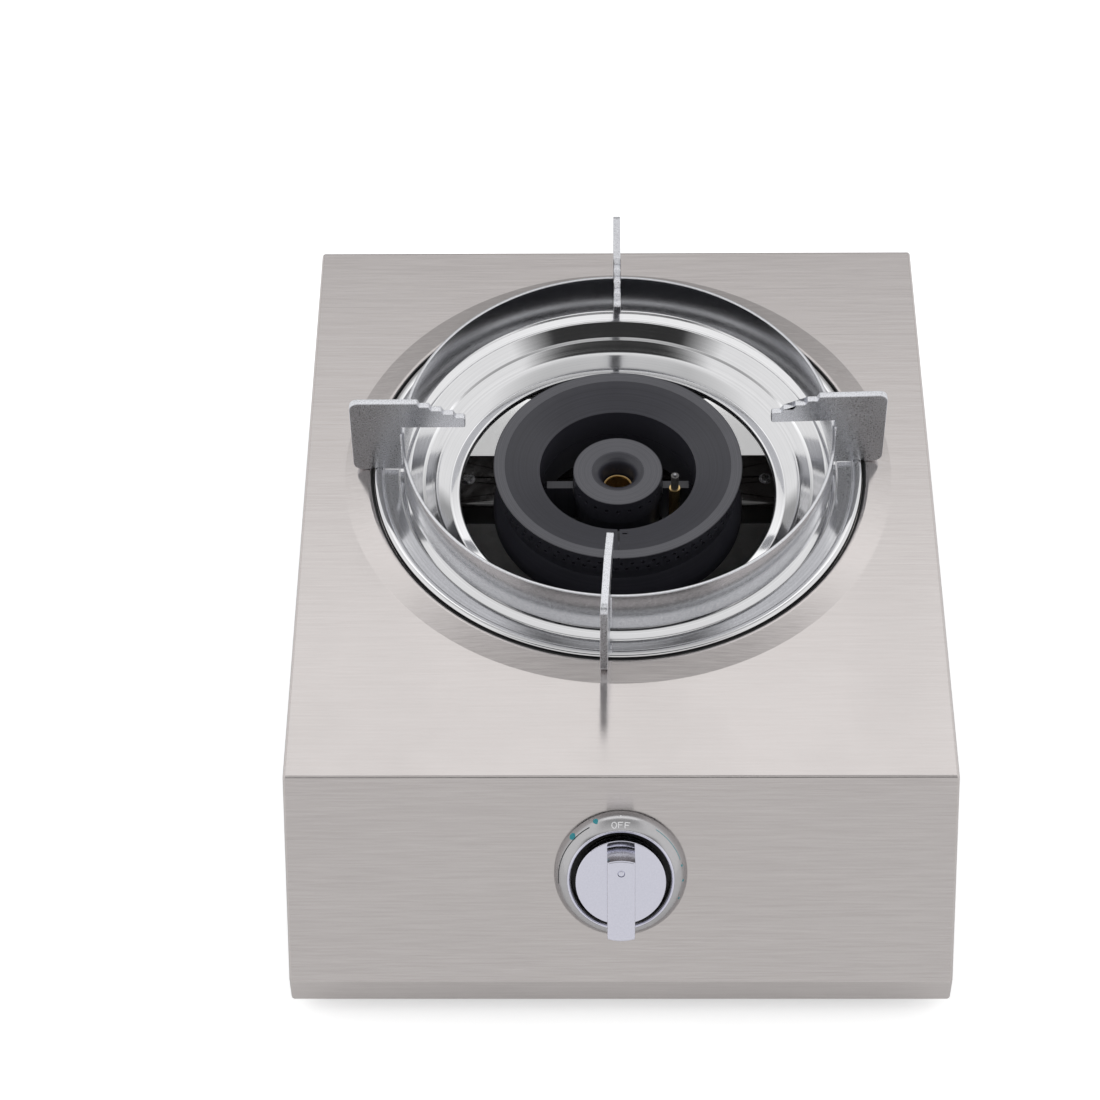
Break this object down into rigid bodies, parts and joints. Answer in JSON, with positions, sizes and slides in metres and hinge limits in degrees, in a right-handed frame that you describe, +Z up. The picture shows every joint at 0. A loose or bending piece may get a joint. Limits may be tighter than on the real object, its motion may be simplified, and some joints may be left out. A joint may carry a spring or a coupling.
{
  "type": "single burner gas stove",
  "caption": "Table-top gas stove: a brushed steel case with a sloped front and a press-and-turn knob, a ring burner in a chrome drip bowl, and a lift-off pan support.",
  "frame": {"origin": "on the table, under the middle of the box that holds the whole stove", "axes": "+X to the cook's right, +Y from the knob to the back, +Z up"},
  "size_m": [0.3, 0.4174, 0.1575],
  "materials": {
    "brushed_stainless": "brushed, left to right",
    "galvanised_sheet": "plain galvanised",
    "bowl_chrome": "polished",
    "support_plate": "bright zinc",
    "burner_iron": "satin black enamel",
    "brass": "turned",
    "knob_chrome": "satin chrome",
    "black_steel": "gloss black",
    "cast_aluminium": "die cast",
    "aluminium_pipe": "drawn",
    "zinc_fastener": "bright zinc",
    "spring_steel": "plain",
    "foot_rubber": "matt",
    "black_plastic": "fine matt",
    "insulator_ceramic": "glazed dark",
    "lead_silicone": "matt"
  },
  "bodies": {
    "stove": {"base_screws": "zinc_fastener", "base_tray": "galvanised_sheet", "bezel": "knob_chrome", "bezel_nuts": "zinc_fastener", "bridge_screws": "zinc_fastener", "burner_body": "burner_iron", "burner_bridge": "black_steel", "burner_screws": "zinc_fastener", "centre_air_tube": "brass", "electrode_clip": "galvanised_sheet", "electrode_insulator": "insulator_ceramic", "electrode_screw": "zinc_fastener", "electrode_sleeve": "brass", "foot_nuts": "zinc_fastener", "foot_screws": "zinc_fastener", "front_left_foot": "foot_rubber", "front_right_foot": "foot_rubber", "hood": "brushed_stainless", "hose_nipple": "brass", "ignition_lead": "lead_silicone", "inlet_locknut": "brass", "inlet_pipe": "aluminium_pipe", "inner_injector": "brass", "inner_mixing_tube": "burner_iron", "left_bridge_leg": "black_steel", "left_side_panel": "galvanised_sheet", "outer_injector": "brass", "outer_mixing_tube": "burner_iron", "piezo_igniter": "black_plastic", "rear_left_foot": "foot_rubber", "rear_panel": "galvanised_sheet", "rear_pipe_nut": "brass", "rear_right_foot": "foot_rubber", "rear_screws": "zinc_fastener", "right_bridge_leg": "black_steel", "right_side_panel": "galvanised_sheet", "spark_electrode": "spring_steel", "tube_bracket": "galvanised_sheet", "tube_bracket_screws": "zinc_fastener", "valve_body": "cast_aluminium", "valve_cover": "cast_aluminium", "valve_pipe_nut": "brass", "valve_screws": "zinc_fastener"},
    "knob": {"knob": "knob_chrome", "knob_marker": "knob_chrome", "knob_clip": "spring_steel", "valve_stem": "zinc_fastener"},
    "valve_plug": {"valve_plug": "brass", "stem_spring": "spring_steel"},
    "drip_bowl": {"drip_bowl": "bowl_chrome"},
    "pan_support": {"pan_support_ring": "support_plate", "pan_support_arm_right": "support_plate", "pan_support_arm_rear": "support_plate", "pan_support_arm_left": "support_plate", "pan_support_arm_front": "support_plate"},
    "outer_flame_cap": {"outer_flame_cap": "burner_iron"},
    "inner_flame_cap": {"inner_flame_cap": "burner_iron"},
    "outer_air_shutter": {"outer_air_shutter": "zinc_fastener"},
    "inner_air_shutter": {"inner_air_shutter": "zinc_fastener"}
  },
  "joints": [
    {"name": "knob_turn", "type": "hinge", "parent": "stove", "child": "valve_plug", "pos_m": [0, -0.17267, 0.07099], "axis": [0, -0.848, 0.5299], "range_deg": [0, 90]},
    {"name": "knob_push", "type": "slide", "parent": "valve_plug", "child": "knob", "axis": [0, 0.848, -0.5299], "range_m": [0, 0.004], "stiffness_N_per_m": 600, "springref_m": -0.005, "deforming": ["stem_spring"]},
    {"name": "bowl_lift", "type": "slide", "parent": "stove", "child": "drip_bowl", "axis": [0, 0, 1], "range_m": [0, 0.06]},
    {"name": "pan_support_lift", "type": "slide", "parent": "drip_bowl", "child": "pan_support", "axis": [0, 0, 1], "range_m": [0, 0.06]},
    {"name": "outer_cap_lift", "type": "slide", "parent": "stove", "child": "outer_flame_cap", "axis": [0, 0, 1], "range_m": [0, 0.08]},
    {"name": "inner_cap_lift", "type": "slide", "parent": "stove", "child": "inner_flame_cap", "axis": [0, 0, 1], "range_m": [0, 0.08]},
    {"name": "outer_air_shutter_turn", "type": "hinge", "parent": "stove", "child": "outer_air_shutter", "pos_m": [0.024, -0.12059, 0.052], "axis": [0, -1, 0], "range_deg": [0, 90]},
    {"name": "inner_air_shutter_turn", "type": "hinge", "parent": "stove", "child": "inner_air_shutter", "pos_m": [-0.0132, -0.12059, 0.052], "axis": [0, -1, 0], "range_deg": [0, 90]}
  ]
}
